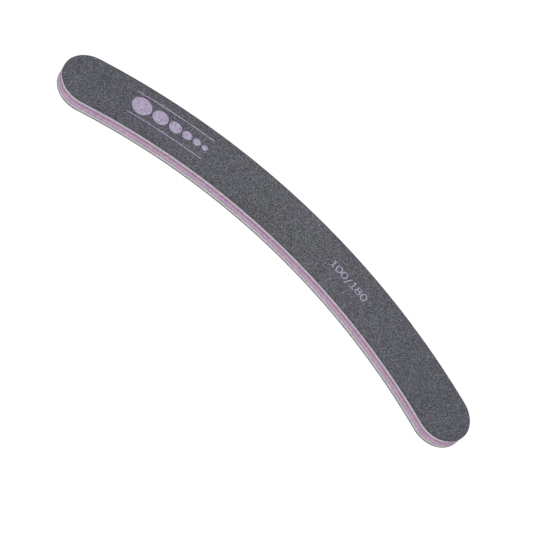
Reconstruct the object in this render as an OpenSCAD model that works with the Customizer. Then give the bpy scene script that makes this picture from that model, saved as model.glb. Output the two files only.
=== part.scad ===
// Curved emery board: a die-cut stack of coated abrasive, foam and a plastic core.
// The board lies flat with its coarse face up, its hollow side towards -Y and its length along X.
// The origin is the middle of its footprint, on the surface that it rests on.

/* [Outline] */
// Length from tip to tip
board_l = 178; // [150:1:200]
// Width across the board, square to its bend
board_w = 20; // [16:0.5:26]
// Radius of the bend, to the middle line of the board
bend_r = 218; // [160:1:400]

/* [Abrasive sheets] */
// Thickness of the coarse coat of grain and resin, on the upper face
coarse_coat_t = 0.22; // [0.16:0.01:0.4]
// Thickness of the fine coat of grain and resin, on the lower face
fine_coat_t = 0.14; // [0.08:0.01:0.3]
// Thickness of the paper that carries each coat
paper_t = 0.23; // [0.15:0.01:0.4]
// Radius to which the cutting die rolls the rim of the coarse coat, where it enters the board
coarse_roll = 0.1; // [0.04:0.01:0.2]
// Radius of the rim of the fine coat, where the die leaves the board
fine_roll = 0.04; // [0.02:0.01:0.1]

/* [Cushion] */
// Thickness of the white foam under the coarse sheet
upper_white_t = 0.96; // [0.5:0.01:1.5]
// Thickness of the pink foam above the core
upper_pink_t = 1.06; // [0.5:0.01:1.5]
// Thickness of the pink foam below the core
lower_pink_t = 0.5; // [0.4:0.01:1.5]
// Thickness of the white foam over the fine sheet
lower_white_t = 1.07; // [0.5:0.01:1.5]
// Depth to which the cut edge of a foam layer draws in at half its height
foam_neck = 0.08; // [0.02:0.01:0.2]
// Height of the skin that keeps a foam layer's edge square at its top and bottom
foam_skin = 0.03; // [0.01:0.01:0.08]
// Thickness of each double-sided adhesive film
film_t = 0.04; // [0.03:0.01:0.12]
// Distance by which each adhesive film stops short of the cut edge
film_inset = 0.06; // [0.02:0.01:0.3]

/* [Core] */
// Thickness of the stiff plastic core
core_t = 0.7; // [0.4:0.05:2]
// Depth by which the core stops short of the outline at its upper and lower corners
core_crown = 0.05; // [0.02:0.01:0.15]

/* [Hidden] */
// Layers from the surface up, and the node that each one makes
$fn = 96;
// Steps in a full turn of the bend, whose radius is many times that of the round ends
bend_steps = 720;
// Steps in a full turn of the small curves of a layer's edge
edge_steps = 48;

half_w = board_w / 2;
// Angle from the middle of the bend to the centre of either round end
bend_a = asin((board_l / 2 - half_w) / bend_r);
// Angle by which each half runs past the middle before it is cut off
spare_a = 1;
// Depth of the bend, measured on the middle line
sag = bend_r * (1 - cos(bend_a));
// Centre of the bend, which puts the origin in the middle of the footprint
bend_y = sag / 2 - bend_r;

// Height at which each layer starts
lower_paper_z = fine_coat_t;
lower_paper_film_z = lower_paper_z + paper_t;
lower_white_z = lower_paper_film_z + film_t;
lower_foam_film_z = lower_white_z + lower_white_t;
lower_pink_z = lower_foam_film_z + film_t;
lower_core_film_z = lower_pink_z + lower_pink_t;
core_z = lower_core_film_z + film_t;
upper_core_film_z = core_z + core_t;
upper_pink_z = upper_core_film_z + film_t;
upper_foam_film_z = upper_pink_z + upper_pink_t;
upper_white_z = upper_foam_film_z + film_t;
upper_paper_film_z = upper_white_z + upper_white_t;
upper_paper_z = upper_paper_film_z + film_t;
upper_coat_z = upper_paper_z + paper_t;

// Radius of the arc that stands d proud of a chord of length t
function arc_r(t, d) = (t * t / 4 + d * d) / (2 * d);

// Sections across the board: x runs from edge to edge, y from the underside up

// Square edges, set back from the outline by inset
module square_section(t, inset = 0) {
    translate([inset - half_w, 0]) square([board_w - 2 * inset, t]);
}

// Edges that draw in by neck at half their height, between skins that stay square
module necked_section(t, neck, skin) {
    r = arc_r(t - 2 * skin, neck);
    difference() {
        square_section(t);
        for (side = [-1, 1])
            translate([side * (half_w - neck + r), t / 2]) circle(r, $fn = edge_steps);
    }
}

// Edges that bulge out to the outline, from corners that are set back by crown
module crowned_section(t, crown) {
    r = arc_r(t, crown);
    intersection() {
        square_section(t);
        union() {
            square_section(t, 2 * crown);
            for (side = [-1, 1])
                translate([side * (half_w - r), t / 2]) circle(r, $fn = edge_steps);
        }
    }
}

// Square edges whose upper corners are rolled to a radius of no more than the layer's thickness
module rolled_section(t, roll) {
    r = min(roll, t);
    square_section(t, r);
    square_section(t - r);
    for (side = [-1, 1])
        translate([side * (half_w - r), t - r]) circle(r, $fn = edge_steps);
}

// The half of a layer on the +X side, about the centre of the bend: a sweep from the round end to a
// little past the middle, where it is cut off square, and half a turn about the round end's centre
module half_layer() {
    intersection() {
        rotate([0, 0, 90 - bend_a]) {
            rotate_extrude(angle = bend_a + spare_a, $fn = bend_steps)
                translate([bend_r, 0]) children();
            translate([bend_r, 0])
                rotate([0, 0, 180])
                    rotate_extrude(angle = 180)
                        intersection() {
                            children();
                            square([board_w, board_w]);
                        }
        }
        translate([0, 0, -board_w]) cube([bend_r + board_w, bend_r + board_w, 2 * board_w]);
    }
}

// A layer that starts at height z
module layer(z) {
    translate([0, bend_y, z]) {
        half_layer() children();
        mirror([1, 0, 0]) half_layer() children();
    }
}

module adhesive_film(z) {
    color([0.87, 0.84, 0.80]) layer(z) square_section(film_t, film_inset);
}

module backing_paper(z) {
    color([0.24, 0.23, 0.24]) layer(z) square_section(paper_t);
}

module white_foam(z, t) {
    color([0.86, 0.87, 0.87]) layer(z) necked_section(t, foam_neck, foam_skin);
}

module pink_foam(z, t) {
    color([0.78, 0.56, 0.74]) layer(z) necked_section(t, foam_neck, foam_skin);
}

module plastic_core() {
    color([0.88, 0.74, 0.87]) layer(core_z) crowned_section(core_t, core_crown);
}

module upper_grit_coat() {
    color([0.36, 0.36, 0.39]) layer(upper_coat_z) rolled_section(coarse_coat_t, coarse_roll);
}

// Like the upper coat, with its rim rolled below
module lower_grit_coat() {
    color([0.36, 0.36, 0.39])
        layer(0)
            translate([0, fine_coat_t]) mirror([0, 1]) rolled_section(fine_coat_t, fine_roll);
}

lower_grit_coat();
backing_paper(lower_paper_z);  // lower_backing_paper
adhesive_film(lower_paper_film_z);  // lower_paper_adhesive
white_foam(lower_white_z, lower_white_t);  // lower_white_foam
adhesive_film(lower_foam_film_z);  // lower_foam_adhesive
pink_foam(lower_pink_z, lower_pink_t);  // lower_pink_foam
adhesive_film(lower_core_film_z);  // lower_core_adhesive
plastic_core();
adhesive_film(upper_core_film_z);  // upper_core_adhesive
pink_foam(upper_pink_z, upper_pink_t);  // upper_pink_foam
adhesive_film(upper_foam_film_z);  // upper_foam_adhesive
white_foam(upper_white_z, upper_white_t);  // upper_white_foam
adhesive_film(upper_paper_film_z);  // upper_paper_adhesive
backing_paper(upper_paper_z);  // upper_backing_paper
upper_grit_coat();
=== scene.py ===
"""A curved emery board: gritty faces, cut foam edges and print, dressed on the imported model."""
import math
import bpy
import numpy as np
from mathutils import Euler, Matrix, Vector
from mathutils.geometry import delaunay_2d_cdt


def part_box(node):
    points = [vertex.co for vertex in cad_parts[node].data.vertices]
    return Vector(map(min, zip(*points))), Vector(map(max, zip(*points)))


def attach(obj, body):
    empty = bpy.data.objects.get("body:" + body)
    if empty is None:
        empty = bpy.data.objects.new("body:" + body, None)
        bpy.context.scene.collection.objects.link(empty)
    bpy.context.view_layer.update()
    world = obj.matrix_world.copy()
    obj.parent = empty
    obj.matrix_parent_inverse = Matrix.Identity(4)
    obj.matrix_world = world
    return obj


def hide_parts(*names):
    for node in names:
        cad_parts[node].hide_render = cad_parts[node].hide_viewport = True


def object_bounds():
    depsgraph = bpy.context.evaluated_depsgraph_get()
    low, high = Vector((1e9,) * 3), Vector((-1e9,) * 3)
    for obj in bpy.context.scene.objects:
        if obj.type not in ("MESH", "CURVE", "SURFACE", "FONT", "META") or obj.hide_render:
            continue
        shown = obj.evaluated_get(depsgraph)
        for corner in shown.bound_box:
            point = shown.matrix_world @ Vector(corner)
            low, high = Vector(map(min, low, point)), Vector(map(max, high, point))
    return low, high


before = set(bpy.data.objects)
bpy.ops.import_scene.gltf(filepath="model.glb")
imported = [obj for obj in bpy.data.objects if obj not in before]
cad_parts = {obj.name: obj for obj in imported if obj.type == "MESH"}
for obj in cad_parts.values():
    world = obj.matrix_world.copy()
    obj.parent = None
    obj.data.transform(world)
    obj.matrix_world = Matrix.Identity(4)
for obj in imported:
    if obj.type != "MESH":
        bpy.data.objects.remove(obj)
cad_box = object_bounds()

# Lengths are in millimetres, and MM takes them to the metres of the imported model
MM = 0.001

# Outline: a bent strip with round ends
BOARD_L = (cad_box[1].x - cad_box[0].x) / MM
HALF_W = 10.0
BEND_R = 218.0
END_ANGLE = math.asin((BOARD_L / 2 - HALF_W) / BEND_R)
END_U = BEND_R * END_ANGLE
BEND_Y = BEND_R * (1 - math.cos(END_ANGLE)) / 2 - BEND_R

# Cut edges: spacing of the points round the board and of the rows up it, and the profiles' depths
EDGE_STEP = 0.14
ROW_STEP = 0.11
MIN_ROWS = 3
FOAM_NECK = 0.08
CORE_CROWN = 0.05

# Cut surface: depth of its cells and of the die's upright marks, on each material
FOAM_ROUGH = 0.07
FOAM_CUTS = 0.018
PAPER_ROUGH = 0.02
PAPER_CUTS = 0.008
CORE_ROUGH = 0.008
CORE_CUTS = 0.012

# Smoothing passes for the die's marks and for its slow drift, and how the drift compares with them
MARK_PASSES = 2
DRIFT_PASSES = 400
DRIFT_GAIN = 12

# Grit: spacing of the tips and hollows, depth from tips to hollows, size of the grains and roll of the rim
COARSE_SPACING = 0.215
COARSE_RELIEF = 0.13
COARSE_GRAIN = 0.27
COARSE_ROLL = 0.1
FINE_SPACING = 0.2
FINE_RELIEF = 0.06
FINE_GRAIN = 0.18
FINE_ROLL = 0.04

# Scatter of the grains as a share of their spacing and, as shares of the relief, the heights of tips,
# hollows and points of the print's outlines, and how far points of the rim lie below the highest tips
GRAIN_SCATTER = 0.42
TIP_HEIGHTS = (0.45, 1.0)
HOLLOW_HEIGHTS = (0.0, 0.55)
PRINT_HEIGHTS = (0.3, 0.9)
RIM_DEPTHS = (0.45, 0.95)

# Joining the grains: keep only the triangles inside the rim, and weld points that lie this close
INSIDE_ONLY = 1
WELD = 1e-5

# Rim: steps up its side as shares of the coat's thickness and of the roll, its roughness, the share of
# the spacing that it keeps clear of grains, and how much and how far in the die presses them down
RIM_STEPS = ((0.0, 0.0), (0.45, 0.0), (0.7, 0.25))
RIM_ROUGH = 0.02
RIM_CLEAR = 0.6
PRESSED_SHARE = 0.5
PRESSED_REACH = 0.3

# Print: spacing of the points round its shapes, and least number of them round an oval
OVAL_STEP = 0.2
OVAL_POINTS = 20
BAND_STEP = 0.25

# Number on the coarse face, in the strip's own coordinates: u along the bend, v across it
NUMBER_U = 19.1
NUMBER_V = -1.0
NUMBER_H = 3.05
STROKE = 0.36
ZERO_W = 2.45

# The figure one: width of its foot, height of the foot in strokes, and the flag at its top
ONE_W = 1.75
FOOT_STROKES = 0.85
FLAG_W = 0.65
FLAG_DROP = 0.25
FLAG_TIP_H = 0.35
FLAG_ROOT_H = 0.4

# The figure eight: its middle line, the width of its upper ring, and its waist as a share of its height
EIGHT_MIDDLE = 1.2
EIGHT_TOP_W = 2.1
EIGHT_WAIST = 0.53

# The slash: how far it leans, falls below the figures and stops short of their top
SLASH_LEAN = 1.2
SLASH_BELOW = 0.6
SLASH_SHORT = 0.1

# Row of dots near the other end: its place and length, its dots, and the rules on both sides of it
SCALE_U = -65.8
SCALE_V = 0.9
SCALE_L = 29.4
SCALE_DOTS = 6
FIRST_DOT = 7.2
DOT_RATIO = 0.79
RULE_GAP = 4.9
RULE_W = 0.3


def srgb(red, green, blue):
    """Linear colour of an 8-bit sRGB one, with an alpha of 1."""
    def linear(c):
        c /= 255
        return c / 12.92 if c <= 0.04045 else ((c + 0.055) / 1.055) ** 2.4
    return (linear(red), linear(green), linear(blue), 1.0)


# Colours and ramps, whose stops are (position, colour)
WHITE = srgb(255, 255, 255)
GRAIN_TONES = [(0.0, srgb(27, 27, 32)), (0.85, srgb(115, 117, 124)), (1.0, srgb(141, 142, 151))]
# Darker towards the grains' feet: the resin's own dark there and painted shade in the hollows between grains
RESIN_AND_HOLLOW_SHADE_TONES = [(0.1, srgb(190, 190, 192)), (0.8, WHITE)]
PATCH_TONES = [(0.35, srgb(240, 241, 240)), (0.65, srgb(254, 252, 255))]
# Painted shade: the coat's colour is made darker and bluer towards both ends
END_PAINTED_SHADE_TONES = [(0.0, WHITE), (1.0, srgb(240, 239, 245))]
INK_TONES = [(0.0, srgb(191, 177, 205)), (1.0, srgb(176, 162, 190))]
# Painted shade in the dents of cut cells: dark in foam pits, lighter between paper fibres, faint on smooth
# cuts
FOAM_PIT_SHADE = srgb(176, 170, 175)
FIBRE_GAP_SHADE = srgb(225, 225, 225)
SMOOTH_PIT_SHADE = srgb(250, 250, 250)

# Scales of the noises, in cells a metre
PATCH_SCALE = 70.0
MOTTLE_SCALE = 1200.0
WEAR_SCALE = 2600.0
MARK_SCALE = 3500.0
CHIP_SCALE = 9000.0

# Grit: roughness of the dullest and the glossiest grain, depth of the chips in them, and the distances
# from the middle between which a painted shade, darker and bluer, comes onto the coat towards the ends
GRAIN_ROUGHNESS = (0.75, 0.4)
CHIP_DEPTH = 0.03
PAINTED_END_SHADE_FADE = (10.0, 70.0)

# Ink: how much wear and chance sway its cover, and the range over which it goes from none to most
WEAR_SWAY = 0.9
CHANCE_SWAY = 0.4
INK_EDGE = (0.32, 0.62)
INK_MOST = 0.97

# Cut surface: wanders of its cells in a cell's width, how unlike the cells are, the depths from a pit's
# full painted shade to none, the mottle from shade to colour, the squeeze that makes marks upright, the
# depth of the cells and their size in foam
CELL_WANDERS = 1.5
CELL_SWAY = 0.45
PIT_DEPTHS = (0.15, 0.5)
MOTTLE_RANGE = (0.12, 0.36)
MARK_SQUEEZE = 0.08
CELL_DEPTH = 0.04
FOAM_CELL = 0.2


# Outline and meshes

def place(u, v):
    """Plan position of a point u along the middle line and v across it; the round ends go straight on."""
    on_bend = np.clip(u, -END_U, END_U)
    past_end = u - on_bend
    angle = on_bend / BEND_R
    radius = BEND_R + v
    x = radius * np.sin(angle) + past_end * np.cos(angle)
    y = radius * np.cos(angle) - past_end * np.sin(angle) + BEND_Y
    return x, y


def stations(step):
    """Points round the outline, clockwise from the left tip: middle-line place and facing direction.
    Point k lies across the board from point n - k."""
    quarter = round(math.pi / 2 * HALF_W / step)
    turn = np.linspace(0, math.pi / 2, quarter, endpoint=False)
    along = np.linspace(-END_U, END_U, round(2 * END_U / step) + 1)
    centre = np.concatenate([np.full(quarter, -END_U), along, np.full(quarter - 1, END_U)])
    face_u = np.concatenate([-np.cos(turn), np.zeros(len(along)), np.sin(turn[1:])])
    face_v = np.concatenate([np.sin(turn), np.ones(len(along)), np.cos(turn[1:])])
    centre = np.concatenate([centre, [END_U], centre[:0:-1]])
    face_u = np.concatenate([face_u, [1.0], face_u[:0:-1]])
    face_v = np.concatenate([face_v, [0.0], -face_v[:0:-1]])
    return centre, face_u, face_v


def ring_uv(points, inset):
    """Strip coordinates of the outline points, each drawn in by inset."""
    centre, face_u, face_v = points
    reach = HALF_W - inset
    return centre + reach * face_u, reach * face_v


def ring_xyz(points, inset, z):
    """Positions of the outline points, each drawn in by inset, at height z."""
    x, y = place(*ring_uv(points, inset))
    return np.column_stack([x, y, np.broadcast_to(z, x.shape)])


def wall_faces(count, rows):
    """Quads between rows of count points each, numbered from 0."""
    faces = []
    for lower in range(0, (rows - 1) * count, count):
        upper = lower + count
        faces += [(lower + k, upper + k, upper + (k + 1) % count, lower + (k + 1) % count)
                  for k in range(count)]
    return faces


def lid_faces(count, first, up):
    """Strips that close a ring from side to side, facing up or down."""
    faces = []
    for k in range(count // 2):
        strip = [k, k + 1, count - k - 1, (count - k) % count]
        strip = [first + p for i, p in enumerate(strip) if p not in strip[:i]]
        faces.append(tuple(reversed(strip)) if up else tuple(strip))
    return faces


def mesh_object(name, points, faces):
    """A new object from points in millimetres."""
    mesh = bpy.data.meshes.new(name)
    mesh.from_pydata((np.asarray(points) * MM).tolist(), [], faces)
    mesh.update()
    piece = bpy.data.objects.new(name, mesh)
    bpy.context.scene.collection.objects.link(piece)
    return piece


def node_heights(node):
    """Lowest and highest point of a CAD node."""
    low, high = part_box(node)
    return low.z / MM, high.z / MM


def blurred(values, times):
    """Values smoothed along their last axis, which runs round the outline."""
    for _ in range(times):
        values = (np.roll(values, 1, -1) + 2 * values + np.roll(values, -1, -1)) / 4
    return values


def seat(piece, node, material):
    """Puts a piece in its node's place, on the board's one body."""
    piece.data.materials.append(material)
    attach(piece, "root")
    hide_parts(node)
    return piece


def layer(name, node, inset, rough, cuts, seed):
    """A cut layer as thick as its node: inset(h) shapes its edge from h = 0, its foot, to h = 1.
    Rough is the depth of the cut cells, and cuts that of the die's upright marks."""
    low, high = node_heights(node)
    rows = max(MIN_ROWS, round((high - low) / ROW_STEP) + 1)
    points = stations(EDGE_STEP)
    count = len(points[0])
    rng = np.random.default_rng(seed)
    cells = rng.random((rows, count)) ** 2 * rough
    marks = np.abs(blurred(rng.normal(size=count), MARK_PASSES)) * cuts
    drift = np.abs(blurred(rng.normal(size=count), DRIFT_PASSES)) * cuts * DRIFT_GAIN
    rings = []
    for row in range(rows):
        h = row / (rows - 1)
        rings.append(ring_xyz(points, inset(h) + cells[row] + marks + drift, low + h * (high - low)))
    faces = wall_faces(count, rows) + lid_faces(count, 0, False) + lid_faces(count, (rows - 1) * count, True)
    piece = mesh_object(name, np.concatenate(rings), faces)
    piece.data.shade_smooth()
    return piece


# Print shapes: each is an outer loop and, where it is open inside, an inner one

def oval(u, v, width, height):
    """Loop of points round an oval centred at u, v."""
    count = max(OVAL_POINTS, round(math.pi * max(width, height) / OVAL_STEP))
    turn = np.linspace(0, 2 * math.pi, count, endpoint=False)
    return np.column_stack([u + width / 2 * np.cos(turn), v + height / 2 * np.sin(turn)])


def band(*corners):
    """Loop of points round a polygon."""
    loop = []
    for a, b in zip(corners, corners[1:] + corners[:1]):
        a, b = np.array(a), np.array(b)
        count = max(1, round(np.linalg.norm(b - a) / BAND_STEP))
        loop += [a + (b - a) * k / count for k in range(count)]
    return np.array(loop)


def bar(u, v, width, height):
    """Loop round an upright bar whose lower left corner is at u, v."""
    return band((u, v), (u + width, v), (u + width, v + height), (u, v + height))


def ring_shape(u, v, width, height):
    """An oval ring centred at u, v, one stroke thick."""
    return oval(u, v, width, height), oval(u, v, width - 2 * STROKE, height - 2 * STROKE)


def one(u):
    """A one with a flag and a foot, to the right of u."""
    stem = u + (ONE_W - STROKE) / 2
    top = NUMBER_V + NUMBER_H
    flag = band((stem, top), (stem - FLAG_W, top - FLAG_DROP),
                (stem - FLAG_W, top - FLAG_DROP - FLAG_TIP_H), (stem, top - FLAG_ROOT_H))
    return [(bar(stem, NUMBER_V, STROKE, NUMBER_H), None),
            (bar(u, NUMBER_V, ONE_W, STROKE * FOOT_STROKES), None), (flag, None)]


def zero(u):
    """A zero, to the right of u."""
    return [ring_shape(u + ZERO_W / 2, NUMBER_V + NUMBER_H / 2, ZERO_W, NUMBER_H)]


def eight(u):
    """An eight, to the right of u: two rings that overlap by a stroke at the waist."""
    waist_v = NUMBER_V + NUMBER_H * EIGHT_WAIST
    upper_h = NUMBER_V + NUMBER_H - waist_v + STROKE / 2
    lower_h = waist_v - NUMBER_V + STROKE / 2
    middle = u + EIGHT_MIDDLE
    return [ring_shape(middle, NUMBER_V + NUMBER_H - upper_h / 2, EIGHT_TOP_W, upper_h),
            ring_shape(middle, NUMBER_V + lower_h / 2, ZERO_W, lower_h)]


def slash(u):
    """A slash whose foot is at u."""
    foot = NUMBER_V - SLASH_BELOW
    top = NUMBER_V + NUMBER_H - SLASH_SHORT
    return [(band((u, foot), (u + STROKE, foot), (u + STROKE + SLASH_LEAN, top),
                  (u + SLASH_LEAN, top)), None)]


def number_shapes():
    """The two grits as plain slab numerals with a slash between them, each at its distance along."""
    figures = [(one, 0.0), (zero, 2.2), (zero, 4.8), (slash, 7.5), (one, 9.7), (eight, 11.75),
               (zero, 14.4)]
    return [shape for draw, at in figures for shape in draw(NUMBER_U + at)]


def scale_shapes():
    """A row of dots that shrink from coarse to fine, between two thin rules."""
    dots = [FIRST_DOT * DOT_RATIO ** k for k in range(SCALE_DOTS)]
    gap = (SCALE_L - sum(dots)) / (SCALE_DOTS - 1)
    shapes = []
    u = SCALE_U
    for dot in dots:
        shapes.append((oval(u + dot / 2, SCALE_V, dot, dot), None))
        u += dot + gap
    for side in (-1, 1):
        shapes.append((bar(SCALE_U, SCALE_V + side * RULE_GAP - RULE_W / 2, SCALE_L, RULE_W), None))
    return shapes


def inside(points, loop):
    """True for each point inside the loop, by counting the edges that it passes."""
    crossings = np.zeros(len(points), int)
    for a, b in zip(loop, np.roll(loop, -1, axis=0)):
        spans = (a[1] > points[:, 1]) != (b[1] > points[:, 1])
        with np.errstate(divide="ignore", invalid="ignore"):
            at = a[0] + (points[:, 1] - a[1]) * (b[0] - a[0]) / (b[1] - a[1])
        crossings += spans & (points[:, 0] < at)
    return crossings % 2 == 1


def printed(points, shapes):
    """True for each strip point that a print shape covers."""
    covered = np.zeros(len(points), bool)
    for outer, hole in shapes:
        near = np.all((points >= outer.min(0)) & (points <= outer.max(0)), axis=1)
        hit = inside(points[near], outer)
        if hole is not None:
            hit &= ~inside(points[near], hole)
        covered[near] |= hit
    return covered


# Coats of grit

def grain_field(spacing, roll, rng):
    """Scattered points inside the rim, every other one a grain's tip: places and relative heights."""
    across = np.arange(-HALF_W, HALF_W, spacing)
    along = np.arange(-END_U - HALF_W, END_U + HALF_W, spacing)
    u, v = (axis.ravel() for axis in np.meshgrid(along, across, indexing="ij"))
    tip = np.add.outer(np.arange(len(along)), np.arange(len(across))).ravel() % 2 == 0
    u = u + spacing * rng.uniform(-GRAIN_SCATTER, GRAIN_SCATTER, len(u))
    v = v + spacing * rng.uniform(-GRAIN_SCATTER, GRAIN_SCATTER, len(v))
    height = np.where(tip, rng.uniform(*TIP_HEIGHTS, len(u)), rng.uniform(*HOLLOW_HEIGHTS, len(u)))
    depth_in = HALF_W - np.hypot(u - np.clip(u, -END_U, END_U), v)
    keep = depth_in > roll + spacing * RIM_CLEAR
    pressed = 1 - PRESSED_SHARE * np.exp(-(depth_in - roll) / PRESSED_REACH)
    return np.column_stack([u, v])[keep], (height * pressed)[keep]


def joined_points(rim, grains, loops):
    """Triangles that join the rim, the grains and the print's loops, and keep the loops' edges: the
    points' places, the triangles' corners, and for each point the numbers of those that it stands for."""
    edges = []
    start = 0
    for points, closed in [(rim, True), (grains, False)] + [(loop, True) for loop in loops]:
        if closed:
            edges += [(start + k, start + (k + 1) % len(points)) for k in range(len(points))]
        start += len(points)
    flat = [Vector(p) for p in np.concatenate([rim, grains] + loops)]
    found = delaunay_2d_cdt(flat, edges, [], INSIDE_ONLY, WELD)
    return np.array([(p.x, p.y) for p in found[0]]), np.array(found[2]), found[3]


def rolled_side(count, thick, relief, roll, rng):
    """Insets and heights of the rings up a coat's cut side, which rolls over towards the face."""
    heights = [np.full(count, part * thick) for part, _ in RIM_STEPS]
    insets = [turned_in * roll + RIM_ROUGH * rng.random(count) for _, turned_in in RIM_STEPS]
    heights.append(thick - relief * rng.uniform(*RIM_DEPTHS, count))
    insets.append(np.full(count, roll))
    return insets, heights


def gritty_face(rim, spacing, relief, roll, loops, rng):
    """A coat's face inside its rim: the places of its points, their depths below the highest tips, the
    triangles' corners and, for each point that is one of the rim's, its number there, or else -1."""
    grains, grain_heights = grain_field(spacing, roll, rng)
    places, corners, sources = joined_points(rim, grains, loops)
    loop_heights = rng.uniform(*PRINT_HEIGHTS, sum(len(loop) for loop in loops))
    relative = np.concatenate([np.zeros(len(rim)), grain_heights, loop_heights])
    depths = np.full(len(places), relief / 2)
    on_rim = np.full(len(places), -1)
    for k, stands_for in enumerate(sources):
        if stands_for and stands_for[0] < len(rim):
            on_rim[k] = stands_for[0]
        elif stands_for:
            depths[k] = relief * (1 - relative[stands_for[0]])
    return places, depths, corners, on_rim


def ink_facets(piece, inked):
    """Gives the second material to those of the piece's last faces that are inked."""
    slots = np.zeros(len(piece.data.polygons), int)
    slots[len(slots) - len(inked):] = inked
    piece.data.polygons.foreach_set("material_index", slots)


def grit_coat(name, node, up, spacing, relief, roll, shapes, seed):
    """A coat of grain on its paper, face up or down, with print on the facets that the shapes cover."""
    low, high = node_heights(node)
    thick = high - low
    rng = np.random.default_rng(seed)
    points = stations(spacing)
    count = len(points[0])

    def level(h):
        return low + h if up else high - h

    insets, heights = rolled_side(count, thick, relief, roll, rng)
    rings = [ring_xyz(points, inset, level(h)) for inset, h in zip(insets, heights)]
    rim_first = (len(rings) - 1) * count
    rim = np.column_stack(ring_uv(points, roll))
    loops = [loop for shape in shapes for loop in shape if loop is not None]
    places, depths, corners, on_rim = gritty_face(rim, spacing, relief, roll, loops, rng)
    x, y = place(places[:, 0], places[:, 1])
    face = np.column_stack([x, y, level(thick - depths)])

    # The face's triangles share the points of the side's last ring
    number = np.where(on_rim < 0, rim_first + count + np.arange(len(places)), rim_first + on_rim)
    faces = wall_faces(count, len(rings)) + lid_faces(count, 0, False)
    faces += [tuple(f) for f in number[corners].tolist()]
    if not up:
        faces = [f[::-1] for f in faces]
    piece = mesh_object(name, np.concatenate(rings + [face]), faces)
    ink_facets(piece, printed(places[corners].mean(1), shapes))
    return piece


# Materials

def node_maker(tree):
    """Adds nodes to a tree, with inputs that are set or linked by name, or by number as in i0=."""
    def add(kind, settings=None, **inputs):
        made = tree.nodes.new(kind)
        for key, value in (settings or {}).items():
            setattr(made, key, value)
        for key, value in inputs.items():
            socket = made.inputs[int(key[1:])] if key[0] == "i" and key[1:].isdigit() else made.inputs[key]
            if isinstance(value, bpy.types.NodeSocket):
                tree.links.new(value, socket)
            else:
                socket.default_value = value
        return made

    return add


def new_material(name, **constants):
    """A material with its shader, a maker of its nodes and a linker to the shader's sockets. The constants
    are set on the shader's own sockets, with _ for each space in a socket's name."""
    material = bpy.data.materials.new(name)
    material.use_nodes = True
    tree = material.node_tree
    shader = tree.nodes["Principled BSDF"]
    for key, value in constants.items():
        shader.inputs[key.replace("_", " ")].default_value = value

    def link(output, socket):
        tree.links.new(output, shader.inputs[socket])

    return material, shader, node_maker(tree), link


def ramp(add, value, stops):
    """Colour ramp through (position, colour) stops, two or more."""
    made = add("ShaderNodeValToRGB", Fac=value)
    elements = made.color_ramp.elements
    while len(elements) < len(stops):
        elements.new(0.5)
    for element, (at, colour) in zip(elements, stops):
        element.position = at
        element.color = colour
    return made.outputs["Color"]


def blend_colour(add, factor, first, second, mode="MIX"):
    """The first colour with the second laid over it."""
    made = add("ShaderNodeMix", {"data_type": "RGBA", "blend_type": mode}, i0=factor, i6=first, i7=second)
    return made.outputs[2]


def remap(add, value, source=(0.0, 1.0), target=(0.0, 1.0)):
    """The value taken from the source range to the target range, and held inside it."""
    made = add("ShaderNodeMapRange", Value=value, i1=source[0], i2=source[1], i3=target[0], i4=target[1])
    return made.outputs["Result"]


def sway(add, value, by, onto):
    """The value times by, plus onto."""
    made = add("ShaderNodeMath", {"operation": "MULTIPLY_ADD"}, i0=value, i1=by, i2=onto)
    return made.outputs[0]


def grain_colours(add, place_of, grain, share):
    """Colour of each grain, from dark to light at random, with the resin's own dark and painted shade in
    the hollows towards the grains' feet, broad faint patches and a painted shade, darker and bluer,
    towards both ends. The second result is another random number for each grain."""
    cells = add("ShaderNodeTexVoronoi", Vector=place_of, Scale=1 / (grain * MM))
    split = add("ShaderNodeSeparateColor", Color=cells.outputs["Color"])
    patches = add("ShaderNodeTexNoise", Vector=place_of, Scale=PATCH_SCALE, Detail=4.0)
    along = add("ShaderNodeSeparateXYZ", Vector=place_of).outputs["X"]
    from_middle = add("ShaderNodeMath", {"operation": "ABSOLUTE"}, i0=along).outputs[0]
    # Painted shade, stronger with distance from the middle towards both ends
    end_shade = remap(add, from_middle, [distance * MM for distance in PAINTED_END_SHADE_FADE])
    colour = ramp(add, split.outputs["Red"], GRAIN_TONES)
    # Multiplies in the resin's dark with painted shade towards the feet, random patches, and painted shade
    # towards both ends
    for value, tones in ((share, RESIN_AND_HOLLOW_SHADE_TONES), (patches.outputs["Fac"], PATCH_TONES), (end_shade, END_PAINTED_SHADE_TONES)):
        colour = blend_colour(add, 1.0, colour, ramp(add, value, tones), "MULTIPLY")
    return colour, split.outputs["Green"]


def grit_base(add, link, grain, foot_z, tip_z, bump):
    """What bare and printed grit share: chipped grains, the place on them, the share of the way from
    their feet to their tips, their colour and a random number for each."""
    place_of = add("ShaderNodeTexCoord").outputs["Object"]
    height = add("ShaderNodeSeparateXYZ", Vector=place_of).outputs["Z"]
    share = remap(add, height, (foot_z, tip_z))
    chips = add("ShaderNodeTexNoise", Vector=place_of, Scale=CHIP_SCALE, Detail=2.0)
    chipped = add("ShaderNodeBump", Height=chips.outputs["Fac"], Strength=bump, Distance=CHIP_DEPTH * MM)
    link(chipped.outputs["Normal"], "Normal")
    return (place_of, share) + grain_colours(add, place_of, grain, share)


def grit_material(name, grain, foot_z, tip_z):
    """Bare grit, with some grains glossier than others."""
    material, _, add, link = new_material(name, Specular_IOR_Level=0.35)
    _, _, colour, chance = grit_base(add, link, grain, foot_z, tip_z, bump=0.35)
    link(colour, "Base Color")
    link(remap(add, chance, target=GRAIN_ROUGHNESS), "Roughness")
    return material


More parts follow.
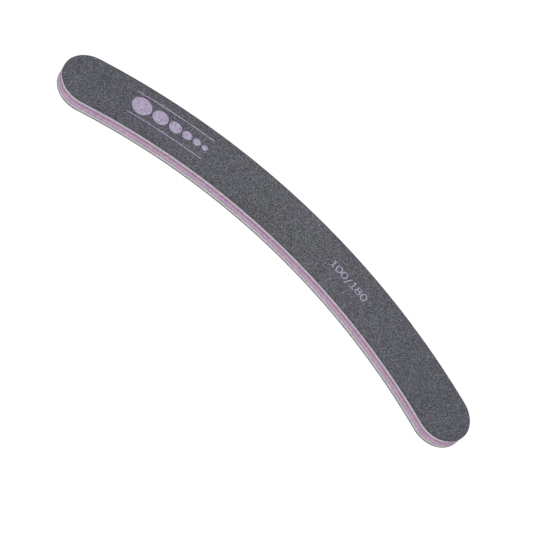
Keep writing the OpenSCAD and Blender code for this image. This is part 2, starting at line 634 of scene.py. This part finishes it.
def ink_material(name, grain, foot_z, tip_z):
    """Ink that lies on the grains' tips, thinner on some grains, and leaves the hollows bare."""
    material, _, add, link = new_material(name, Roughness=0.55, Specular_IOR_Level=0.3)
    place_of, share, colour, chance = grit_base(add, link, grain, foot_z, tip_z, bump=0.25)
    wear = add("ShaderNodeTexNoise", Vector=place_of, Scale=WEAR_SCALE, Detail=2.0)
    worn = sway(add, wear.outputs["Fac"], WEAR_SWAY, -WEAR_SWAY / 2)
    thinner = sway(add, chance, CHANCE_SWAY, worn)
    inked = add("ShaderNodeMath", {"operation": "ADD"}, i0=share, i1=thinner).outputs[0]
    cover = remap(add, inked, INK_EDGE, (0.0, INK_MOST))
    link(blend_colour(add, cover, colour, ramp(add, chance, INK_TONES)), "Base Color")
    return material


def cut_material(name, colour, shade, cell, pit_shade, roughness, bump):
    """A cut edge: uneven cells, some dented with painted shade in the dent, a faint mottle and the die's
    upright marks.
    """
    material, _, add, link = new_material(name, Roughness=roughness, Specular_IOR_Level=0.3)
    place_of = add("ShaderNodeTexCoord").outputs["Object"]

    wander = add("ShaderNodeTexNoise", Vector=place_of, Scale=CELL_WANDERS / (cell * MM),
                 Detail=1.0)
    shaken = add("ShaderNodeVectorMath", {"operation": "MULTIPLY_ADD"}, i0=wander.outputs["Color"],
                 i1=(cell * MM,) * 3, i2=place_of)
    cells = add("ShaderNodeTexVoronoi", Vector=shaken.outputs["Vector"], Scale=1 / (cell * MM))
    chance = add("ShaderNodeSeparateColor", Color=cells.outputs["Color"])
    depth = sway(add, chance.outputs["Red"], CELL_SWAY, cells.outputs["Distance"])
    # Painted shade: each cell darkens where its bump dents it
    pit_shades = ramp(add, depth, list(zip(PIT_DEPTHS, (pit_shade, WHITE))))

    mottle = add("ShaderNodeTexNoise", Vector=place_of, Scale=MOTTLE_SCALE, Detail=4.0)
    upright = add("ShaderNodeMapping", Vector=place_of, Scale=(1.0, 1.0, MARK_SQUEEZE))
    marks = add("ShaderNodeTexNoise", Vector=upright.outputs["Vector"], Scale=MARK_SCALE, Detail=1.0)
    mixed = add("ShaderNodeMath", {"operation": "MULTIPLY"}, i0=mottle.outputs["Fac"],
                i1=marks.outputs["Fac"])
    tone = ramp(add, mixed.outputs[0], list(zip(MOTTLE_RANGE, (shade, colour))))

    link(blend_colour(add, 1.0, tone, pit_shades, "MULTIPLY"), "Base Color")
    dents = add("ShaderNodeBump", Height=depth, Strength=bump, Distance=CELL_DEPTH * MM)
    link(dents.outputs["Normal"], "Normal")
    return material


def foam_material(name, colour, shade):
    """Cut foam, with deep cells."""
    return cut_material(name, colour, shade, cell=FOAM_CELL, pit_shade=FOAM_PIT_SHADE, roughness=0.9, bump=0.6)


def paper_material():
    """The dark paper's cut edge, with fine fibres."""
    return cut_material("backing_paper", srgb(59, 53, 50), srgb(45, 40, 37), cell=0.06, pit_shade=FIBRE_GAP_SHADE,
                        roughness=0.85, bump=0.3)


def core_material():
    """The core's smooth cut plastic."""
    return cut_material("core_plastic", srgb(223, 188, 221), srgb(193, 158, 192), cell=0.3, pit_shade=SMOOTH_PIT_SHADE,
                        roughness=0.5, bump=0.1)


def adhesive_material():
    """The adhesive films' edges."""
    return cut_material("adhesive_film", srgb(208, 200, 202), srgb(186, 178, 180), cell=0.1, pit_shade=SMOOTH_PIT_SHADE,
                        roughness=0.45, bump=0.15)


# Layers, from the table up

def foam(name, node, material, seed):
    """A layer of foam, drawn in at half its height."""
    piece = layer(name, node, lambda h: FOAM_NECK * (1 - (2 * h - 1) ** 2), FOAM_ROUGH, FOAM_CUTS, seed)
    seat(piece, node, material)


def sheet_of_paper(name, node, material, seed):
    """A sheet of paper, cut square."""
    piece = layer(name, node, lambda h: 0.0, PAPER_ROUGH, PAPER_CUTS, seed)
    seat(piece, node, material)


def core(name, node, seed):
    """The core, which bulges between its corners."""
    piece = layer(name, node, lambda h: CORE_CROWN * (2 * h - 1) ** 2, CORE_ROUGH, CORE_CUTS, seed)
    seat(piece, node, core_material())


def fine_face(name, node, seed):
    """The fine coat, face down and bare."""
    piece = grit_coat(name, node, False, FINE_SPACING, FINE_RELIEF, FINE_ROLL, [], seed)
    seat(piece, node, grit_material("fine_grit", FINE_GRAIN, FINE_RELIEF * MM, 0.0))


def coarse_face(name, node, seed):
    """The coarse coat, face up and printed."""
    piece = grit_coat(name, node, True, COARSE_SPACING, COARSE_RELIEF, COARSE_ROLL,
                      number_shapes() + scale_shapes(), seed)
    tip_z = cad_box[1].z
    foot_z = tip_z - COARSE_RELIEF * MM
    seat(piece, node, grit_material("coarse_grit", COARSE_GRAIN, foot_z, tip_z))
    piece.data.materials.append(ink_material("print_ink", COARSE_GRAIN, foot_z, tip_z))


def dress_films():
    """The adhesive films keep their solids."""
    adhesive = adhesive_material()
    for name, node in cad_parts.items():
        if name.endswith("_adhesive"):
            node.data.materials.clear()
            node.data.materials.append(adhesive)


paper = paper_material()
white_foam = foam_material("white_foam", srgb(216, 218, 219), srgb(194, 196, 199))
pink_foam = foam_material("pink_foam", srgb(201, 155, 193), srgb(164, 119, 157))
mauve_foam = foam_material("mauve_foam", srgb(208, 177, 205), srgb(174, 144, 171))
fine_face("fine_grit_face", "lower_grit_coat", seed=11)
sheet_of_paper("lower_paper_sheet", "lower_backing_paper", paper, seed=12)
foam("lower_white_foam_pad", "lower_white_foam", white_foam, seed=13)
foam("lower_pink_foam_pad", "lower_pink_foam", mauve_foam, seed=14)
core("cut_core", "plastic_core", seed=15)
foam("upper_pink_foam_pad", "upper_pink_foam", pink_foam, seed=16)
foam("upper_white_foam_pad", "upper_white_foam", white_foam, seed=17)
sheet_of_paper("upper_paper_sheet", "upper_backing_paper", paper, seed=18)
coarse_face("coarse_grit_face", "upper_grit_coat", seed=19)
dress_films()


# Studio: a white floor that keeps a faint shadow, an even sky and two soft lamps, one at the front
# and a low one behind

# Floor: half its size, its grey as the board sees it, and its glow and its grey as the camera does
FLOOR_HALF = 3000.0
FLOOR_GREY = 0.65
FLOOR_GLOW = 0.84
FLOOR_SHADED = 0.22

# Light, with the lamps' spread and tilt in degrees
SKY_STRENGTH = 0.2
KEY_ENERGY = 2.45
KEY_SPREAD = 25
KEY_TILT = 29
FILL_ENERGY = 0.75
FILL_SPREAD = 40
FILL_TILT = 60


def grey(level):
    """A linear grey with an alpha of 1."""
    return (level, level, level, 1.0)


def seen_directly(add):
    """1 for rays from the camera, a mirror or glass, and 0 for those that light the board."""
    rays = add("ShaderNodeLightPath").outputs
    first = add("ShaderNodeMath", {"operation": "MAXIMUM"}, i0=rays["Is Camera Ray"],
                i1=rays["Is Glossy Ray"])
    both = add("ShaderNodeMath", {"operation": "MAXIMUM"}, i0=first.outputs[0],
               i1=rays["Is Transmission Ray"])
    return both.outputs[0]


def make_floor():
    """A floor that glows, and is a little darker in the shade, where it is seen directly."""
    half = FLOOR_HALF * MM
    mesh = bpy.data.meshes.new("floor")
    mesh.from_pydata([(-half, -half, 0), (half, -half, 0), (half, half, 0), (-half, half, 0)], [],
                     [(0, 1, 2, 3)])
    floor = bpy.data.objects.new("floor", mesh)
    bpy.context.scene.collection.objects.link(floor)
    material, shader, add, _ = new_material("floor_white", Base_Color=grey(FLOOR_GREY), Roughness=0.9,
                                            Specular_IOR_Level=0.0)
    glow = add("ShaderNodeEmission", Strength=FLOOR_GLOW)
    matte = add("ShaderNodeBsdfDiffuse", Color=grey(FLOOR_SHADED))
    white = add("ShaderNodeAddShader", i0=glow.outputs[0], i1=matte.outputs[0])
    mixed = add("ShaderNodeMixShader", i0=seen_directly(add), i1=shader.outputs[0],
                i2=white.outputs[0])
    out = material.node_tree.nodes["Material Output"]
    material.node_tree.links.new(mixed.outputs[0], out.inputs["Surface"])
    mesh.materials.append(material)


def make_world():
    """An even sky that is white where it is seen directly."""
    world = bpy.data.worlds.new("studio")
    bpy.context.scene.world = world
    world.use_nodes = True
    tree = world.node_tree
    add = node_maker(tree)
    background = tree.nodes["Background"]
    tree.links.new(remap(add, seen_directly(add), target=(SKY_STRENGTH, 1.0)), background.inputs["Strength"])
    background.inputs["Color"].default_value = grey(1.0)


def make_lamp(name, energy, spread_deg, tilt_deg):
    """A soft lamp far away, tilted from straight overhead to the front, or back where it is negative."""
    lamp = bpy.data.lights.new(name, "SUN")
    lamp.energy = energy
    lamp.angle = math.radians(spread_deg)
    holder = bpy.data.objects.new(name, lamp)
    holder.rotation_euler = Euler((math.radians(tilt_deg), 0, 0), "XYZ")
    bpy.context.scene.collection.objects.link(holder)


def make_camera():
    """The photograph's view: the aim is the point of the board on the picture's middle."""
    aim = Vector((4.495, -11.734, 2.735)) * MM
    distance = 526.95 * MM
    azimuth = math.radians(1.704)
    elevation = math.radians(49.895)
    roll = math.radians(42.069)
    data = bpy.data.cameras.new("camera")
    data.sensor_width = 36.0
    data.lens = 109.44
    data.clip_start = 10.0 * MM
    camera = bpy.data.objects.new("camera", data)
    bpy.context.scene.collection.objects.link(camera)
    camera.rotation_euler = Euler((math.pi / 2 - elevation, 0, azimuth), "XYZ")
    turned = camera.rotation_euler.to_matrix() @ Euler((0, 0, roll), "XYZ").to_matrix()
    camera.rotation_euler = turned.to_euler("XYZ")
    camera.location = aim + turned @ Vector((0, 0, distance))
    bpy.context.scene.camera = camera


make_floor()
make_world()
make_lamp("key", KEY_ENERGY, KEY_SPREAD, KEY_TILT)
make_lamp("fill", FILL_ENERGY, FILL_SPREAD, -FILL_TILT)
make_camera()
bpy.context.scene.view_settings.view_transform = "Standard"
